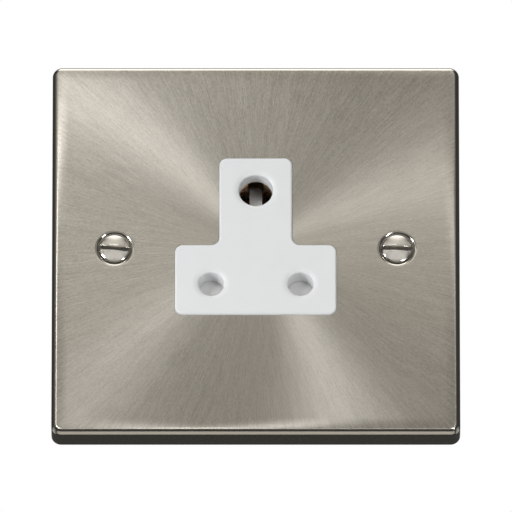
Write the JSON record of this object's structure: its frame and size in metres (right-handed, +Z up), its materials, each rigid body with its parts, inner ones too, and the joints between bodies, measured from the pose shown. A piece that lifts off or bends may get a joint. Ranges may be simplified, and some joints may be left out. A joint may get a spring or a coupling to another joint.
{
  "type": "round-pin wall socket",
  "caption": "Square wall socket for round-pin plugs: a brushed metal plate over a white T-shaped insert with shuttered pin holes, contacts, terminals and fixing screws.",
  "frame": {"origin": "centre of the plate's rear rim, on the wall's surface and midway between the fixing screws", "axes": "+X to the right seen from the room, +Y into the wall, +Z up"},
  "size_m": [0.087, 0.0266, 0.087],
  "materials": {
    "plate": "fine radial brushing with polished edges",
    "white_moulding": "smooth white moulding",
    "shutter": "pale moulded plastic",
    "housing": "pale moulded plastic",
    "brass": "bright pressed brass",
    "terminal_screw": "turned brass",
    "spring_steel": "spring steel",
    "nickel": "bright nickel plate",
    "zinc": "zinc plate",
    "coppered_steel": "coppered weld stud"
  },
  "bodies": {
    "socket_body": {"front_plate": "plate", "plate_studs": "coppered_steel", "stud_nuts": "zinc", "front_moulding": "white_moulding", "rear_housing": "housing", "shutter_spring": "spring_steel", "live_contact": "brass", "neutral_contact": "brass", "earth_contact": "brass", "live_contact_spring": "spring_steel", "neutral_contact_spring": "spring_steel", "earth_contact_spring": "spring_steel", "live_terminal": "brass", "neutral_terminal": "brass", "earth_terminal": "brass", "terminal_screws": "terminal_screw", "earth_strap": "brass", "fixing_screws": "nickel", "housing_screws": "zinc"},
    "shutter": {"safety_shutter": "shutter"}
  },
  "joints": [
    {"name": "shutter_slide", "type": "slide", "parent": "socket_body", "child": "shutter", "axis": [0, 0, -1], "range_m": [0, 0.009], "stiffness_N_per_m": 80, "springref_m": -0.008, "deforming": ["shutter_spring"]}
  ]
}
